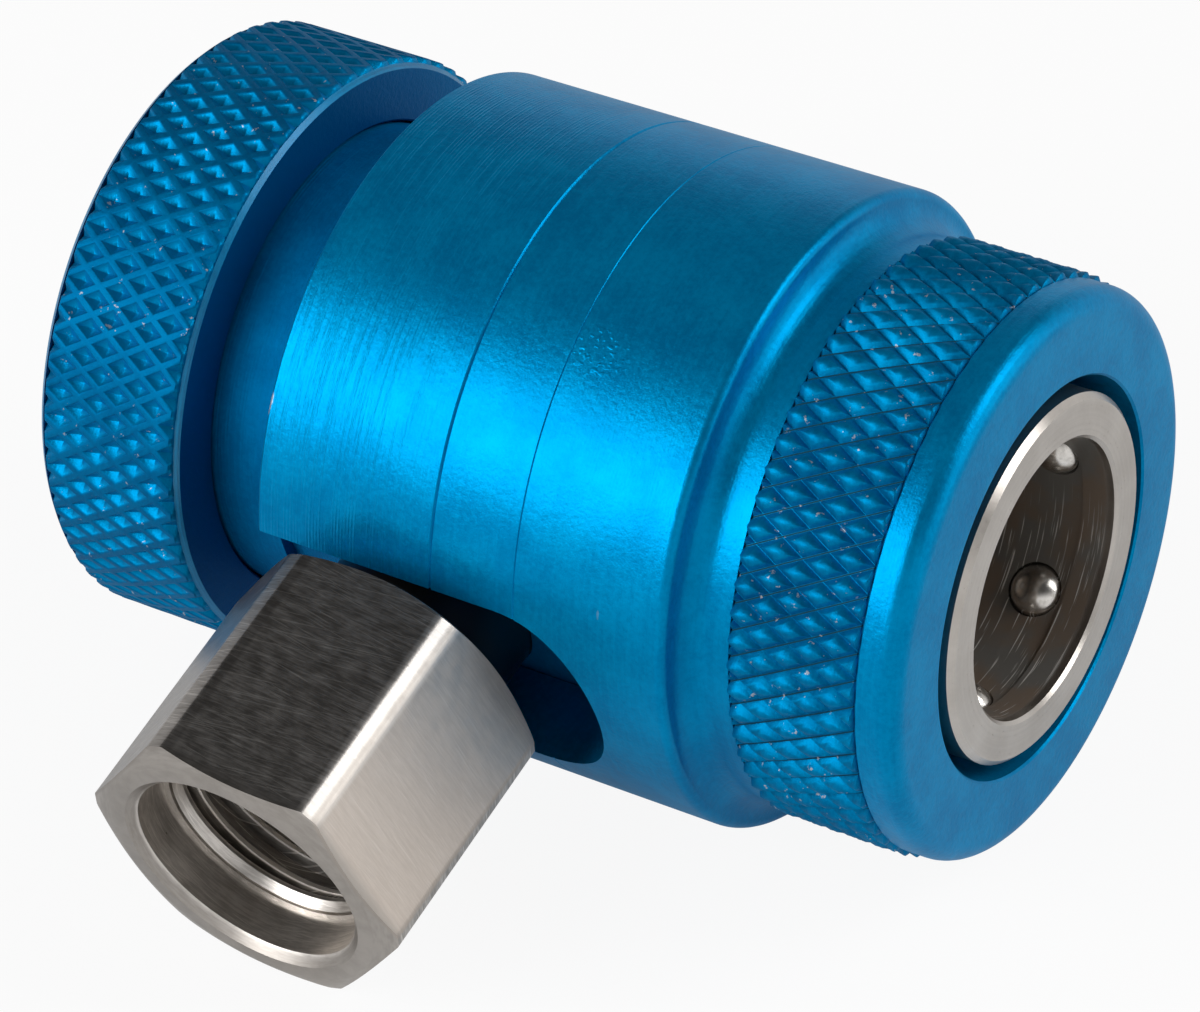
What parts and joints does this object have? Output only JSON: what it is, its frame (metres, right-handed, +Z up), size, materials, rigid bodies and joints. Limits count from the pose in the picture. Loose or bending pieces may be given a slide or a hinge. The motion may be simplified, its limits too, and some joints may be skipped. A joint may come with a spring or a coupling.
{
  "type": "refrigerant quick coupler",
  "caption": "Hand-operated refrigerant service coupler: sliding ball-lock sleeve with knurled nose, side hexagon hose port and knurled valve knob.",
  "frame": {"origin": "centre of the socket's mouth, on the front face of the steel socket tube", "axes": "+X out of the socket along the common axis, +Z up as the coupler lies, hose port towards -Y and hanging down to the surface"},
  "size_m": [0.0448, 0.0439, 0.03],
  "materials": {
    "anodised_blue": "satin blue anodised",
    "steel": "machined",
    "ball_steel": "polished",
    "spring_steel": "drawn wire",
    "brass": "machined",
    "seal_rubber": "moulded",
    "seal_plastic": "turned"
  },
  "bodies": {
    "body": {"main_body": "anodised_blue", "socket_tube": "steel", "socket_seal": "seal_rubber", "tube_o_ring": "seal_rubber", "port_fitting": "steel", "port_o_ring": "seal_rubber", "bonnet_nut": "brass", "bonnet_o_ring": "seal_rubber", "stem_o_ring": "seal_rubber", "stem_backup_ring": "seal_plastic", "sleeve_spring": "spring_steel", "plunger_spring": "spring_steel"},
    "sleeve": {"sleeve": "anodised_blue", "sleeve_stop_ring": "spring_steel"},
    "plunger": {"plunger": "steel"},
    "knob": {"hand_knob": "anodised_blue", "valve_stem": "steel", "knob_washer": "steel", "knob_screw": "steel"},
    "ball_1": {"locking_ball_1": "ball_steel"},
    "ball_2": {"locking_ball_2": "ball_steel"},
    "ball_3": {"locking_ball_3": "ball_steel"},
    "ball_4": {"locking_ball_4": "ball_steel"},
    "ball_5": {"locking_ball_5": "ball_steel"},
    "ball_6": {"locking_ball_6": "ball_steel"}
  },
  "joints": [
    {"name": "sleeve_slide", "type": "slide", "parent": "body", "child": "sleeve", "axis": [-1, 0, 0], "range_m": [0, 0.0024], "stiffness_N_per_m": 600, "springref_m": -0.004, "deforming": ["sleeve_spring"]},
    {"name": "plunger_slide", "type": "slide", "parent": "body", "child": "plunger", "axis": [1, 0, 0], "range_m": [0, 0.00225], "deforming": ["plunger_spring"]},
    {"name": "knob_turn", "type": "hinge", "parent": "plunger", "child": "knob", "pos_m": [-0.041, 0, 0], "axis": [1, 0, 0], "range_deg": [0, 810]},
    {"name": "ball_slide_1", "type": "slide", "parent": "body", "child": "ball_1", "axis": [0, -0.959, -0.2835], "range_m": [0, 0.00053]},
    {"name": "ball_slide_2", "type": "slide", "parent": "body", "child": "ball_2", "axis": [0, -0.234, -0.9722], "range_m": [0, 0.00053]},
    {"name": "ball_slide_3", "type": "slide", "parent": "body", "child": "ball_3", "axis": [0, 0.725, -0.6887], "range_m": [0, 0.00053]},
    {"name": "ball_slide_4", "type": "slide", "parent": "body", "child": "ball_4", "axis": [0, 0.959, 0.2835], "range_m": [0, 0.00053]},
    {"name": "ball_slide_5", "type": "slide", "parent": "body", "child": "ball_5", "axis": [0, 0.234, 0.9722], "range_m": [0, 0.00053]},
    {"name": "ball_slide_6", "type": "slide", "parent": "body", "child": "ball_6", "axis": [0, -0.725, 0.6887], "range_m": [0, 0.00053]}
  ],
  "couplings": [
    {"joint": "knob_turn", "follows": "plunger_slide", "rad_per_m": 6283.2},
    {"joint": "ball_slide_1", "follows": "sleeve_slide", "ratio": 0.21667},
    {"joint": "ball_slide_2", "follows": "sleeve_slide", "ratio": 0.21667},
    {"joint": "ball_slide_3", "follows": "sleeve_slide", "ratio": 0.21667},
    {"joint": "ball_slide_4", "follows": "sleeve_slide", "ratio": 0.21667},
    {"joint": "ball_slide_5", "follows": "sleeve_slide", "ratio": 0.21667},
    {"joint": "ball_slide_6", "follows": "sleeve_slide", "ratio": 0.21667}
  ]
}
